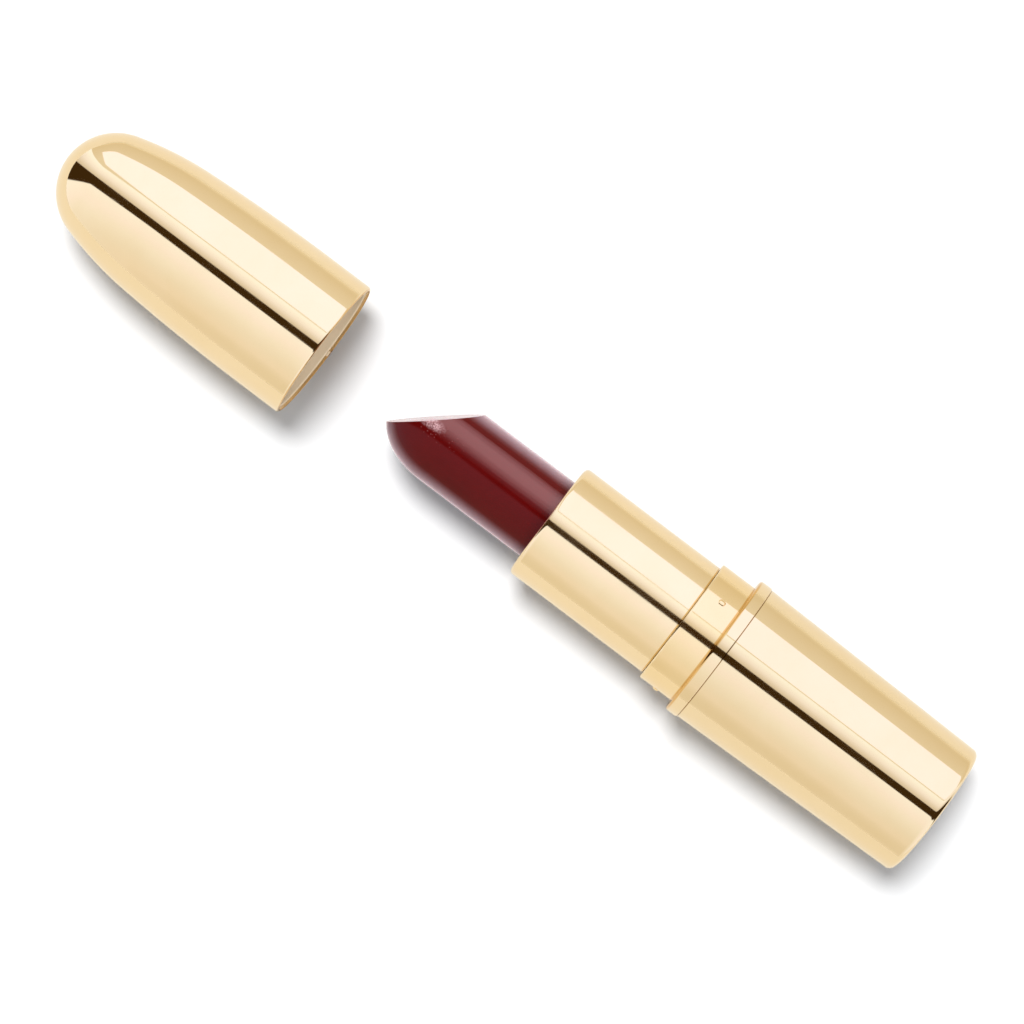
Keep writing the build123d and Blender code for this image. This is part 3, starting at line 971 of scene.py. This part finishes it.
def make_floor():
    """A white floor. In reflections it ends at the edges of the paper, where the studio shows."""
    mesh = bmesh.new()
    bmesh.ops.create_grid(mesh, x_segments=1, y_segments=1, size=FLOOR_SIZE)
    data = bpy.data.meshes.new("floor")
    mesh.to_mesh(data)
    mesh.free()
    floor = bpy.data.objects.new("floor", data)
    bpy.context.scene.collection.objects.link(floor)
    material = bpy.data.materials.new("paper_floor")
    material.use_nodes = True
    tree = material.node_tree
    tree.nodes.remove(tree.nodes["Principled BSDF"])
    place = tree.nodes.new("ShaderNodeTexCoord").outputs["Object"]
    split = add_node(tree, "ShaderNodeSeparateXYZ", {"Vector": place})
    mirrored = tree.nodes.new("ShaderNodeLightPath").outputs["Is Glossy Ray"]
    back = fade(tree, split.outputs["Y"], PAPER_BACK[1], PAPER_BACK[0])
    front = fade(tree, split.outputs["Y"], *PAPER_FRONT)
    ends = maths(tree, "GREATER_THAN", maths(tree, "ABSOLUTE", split.outputs["X"]), PAPER_END)
    off = maths(tree, "MAXIMUM", maths(tree, "MAXIMUM", back, front), ends)
    see_through = maths(tree, "MULTIPLY", off, mirrored)
    seen = mix(tree, mirrored, FLOOR_WHITE, PAPER_IN_GOLD)
    white = add_node(tree, "ShaderNodeBsdfDiffuse", {"Color": seen}).outputs[0]
    clear = tree.nodes.new("ShaderNodeBsdfTransparent").outputs[0]
    shader = add_node(tree, "ShaderNodeMixShader", {0: see_through, 1: white, 2: clear}).outputs[0]
    tree.links.new(shader, tree.nodes["Material Output"].inputs["Surface"])
    data.materials.append(material)


def fade(tree, value, start, end):
    """0 at start and 1 at end, eased."""
    return add_node(
        tree,
        "ShaderNodeMapRange",
        {"Value": value, "From Min": start, "From Max": end},
        interpolation_type="SMOOTHSTEP",
    ).outputs["Result"]


def share_of(sine):
    """Place on a colour ramp of a sine between -1 and 1."""
    return 0.5 + sine / 2


def panels(tree, fac, colours):
    """Colours along an arc of the room, from their sines."""
    return ramp(tree, fac, [(share_of(sine), colour) for sine, colour in colours])


def make_studio():
    """The studio round the case: a tan room, a long bright panel behind it, a narrow satin strip
    and a dark gap overhead, and a broad warm panel in front. All of them lie along the case."""
    world = bpy.data.worlds.new("studio")
    bpy.context.scene.world = world
    world.use_nodes = True
    tree = world.node_tree
    background = tree.nodes["Background"]
    direction = tree.nodes.new("ShaderNodeTexCoord").outputs["Generated"]
    split = add_node(tree, "ShaderNodeSeparateXYZ", {"Vector": direction})
    along, sideways, up = (split.outputs[axis] for axis in "XYZ")

    # The strip and the gap turn aside past the foot, and widen towards both ends in front
    lengthwise = maths(tree, "ABSOLUTE", along)
    footwards = maths(tree, "MAXIMUM", maths(tree, "MULTIPLY", along, -1.0), 0.0)
    past_foot = maths(tree, "POWER", footwards, 4.0)
    slewed = maths(tree, "MULTIPLY_ADD", past_foot, FOOT_SLEW, sideways)
    in_front = maths(tree, "GREATER_THAN", slewed, 0.0)
    widening = maths(tree, "MULTIPLY", maths(tree, "POWER", lengthwise, 2.5), in_front)
    flare = maths(tree, "MULTIPLY_ADD", widening, FRONT_FLARE, 1.0)
    across = maths(tree, "MULTIPLY_ADD", maths(tree, "DIVIDE", slewed, flare), 0.5, 0.5)
    overhead = panels(tree, across, OVERHEAD_COLOURS)

    wall = panels(tree, maths(tree, "MULTIPLY_ADD", up, 0.5, 0.5), WALL_COLOURS)
    at_back = maths(tree, "LESS_THAN", across, share_of(BACK_WALL_EDGE))
    room = mix(tree, at_back, overhead, wall)

    panel_foot = maths(tree, "MULTIPLY_ADD", lengthwise, KEY_PANEL_FOOT_FALL, KEY_PANEL_FOOT)
    above = maths(tree, "GREATER_THAN", up, panel_foot)
    spread = maths(tree, "POWER", lengthwise, 4.0)
    panel_edge = maths(tree, "MULTIPLY_ADD", spread, KEY_PANEL_SPREAD, KEY_PANEL_EDGE)
    behind = maths(tree, "LESS_THAN", sideways, panel_edge)
    mirrored = mix(tree, maths(tree, "MULTIPLY", above, behind), room, KEY_PANEL)

    # Matt surfaces see one soft colour, and the camera sees white
    light_path = tree.nodes.new("ShaderNodeLightPath")
    after_diffuse = maths(tree, "GREATER_THAN", light_path.outputs["Diffuse Depth"], 0.5)
    soft = mix(tree, after_diffuse, mirrored, AMBIENT)
    plain = mix(tree, light_path.outputs["Is Camera Ray"], soft, (1.0, 1.0, 1.0))
    tree.links.new(plain, background.inputs["Color"])


def make_card(name, bearing, distance, size, energy, aim, lights_only, shape="DISK", length=None):
    """A soft card that shines on a point from a bearing, and lights one piece alone."""
    light = bpy.data.lights.new(name, "AREA")
    light.shape = shape
    light.size = size
    if length is not None:
        light.size_y = length
    light.energy = energy
    lamp = bpy.data.objects.new(name, light)
    away = Vector(bearing).normalized()
    lamp.location = aim + away * distance
    lamp.rotation_euler = away.to_track_quat("Z", "X").to_euler()
    lamp.visible_camera = False
    bpy.context.scene.collection.objects.link(lamp)
    link_light(lamp, lights_only, "INCLUDE")
    return lamp


def link_light(lamp, receiver, state):
    """Makes a lamp light one piece alone (INCLUDE) or everything else (EXCLUDE)."""
    receivers = bpy.data.collections.new(lamp.name + "_receivers")
    receivers.objects.link(receiver)
    receivers.collection_objects[0].light_linking.link_state = state
    lamp.light_linking.receiver_collection = receivers


def make_lamps():
    """An overhead lamp that casts the shadow, and soft cards for the stick and the liner."""
    sun = bpy.data.lights.new("overhead", "SUN")
    sun.energy = OVERHEAD_STRENGTH
    sun.angle = OVERHEAD_BREADTH
    overhead = bpy.data.objects.new("overhead", sun)
    lean = 0.7 * math.sin(OVERHEAD_TILT)
    away = Vector((lean, -lean, math.cos(OVERHEAD_TILT)))
    overhead.rotation_euler = away.to_track_quat("Z", "X").to_euler()
    overhead.visible_camera = False
    overhead.visible_glossy = False
    bpy.context.scene.collection.objects.link(overhead)
    link_light(overhead, stick, "EXCLUDE")
    middle = AXIS + ALONG * (TUBE_MOUTH + STICK_TIP) / 2
    for number, (width, energy) in enumerate(STICK_KEYS):
        make_card(
            f"stick_key_{number}",
            (0, -1, 1),
            distance=STICK_KEY_DISTANCE - STICK_KEY_STEP * number,
            size=width,
            energy=energy,
            aim=middle,
            shape="RECTANGLE",
            length=STICK_CARD_LENGTH,
            lights_only=stick,
        )
    fill = make_card(
        "stick_fill",
        (0, 1, 0.6),
        distance=0.5,
        size=0.5,
        energy=7.4,
        aim=middle,
        shape="RECTANGLE",
        length=STICK_CARD_LENGTH,
        lights_only=stick,
    )
    fill.visible_glossy = False
    make_card(
        "liner_card",
        (-1, 0, 1.4),
        distance=0.4,
        size=0.2,
        energy=0.9,
        aim=AXIS + ALONG * CAP_MOUTH,
        lights_only=liner,
    )


make_camera()
make_floor()
make_studio()
make_lamps()
bpy.context.scene.view_settings.view_transform = "Standard"
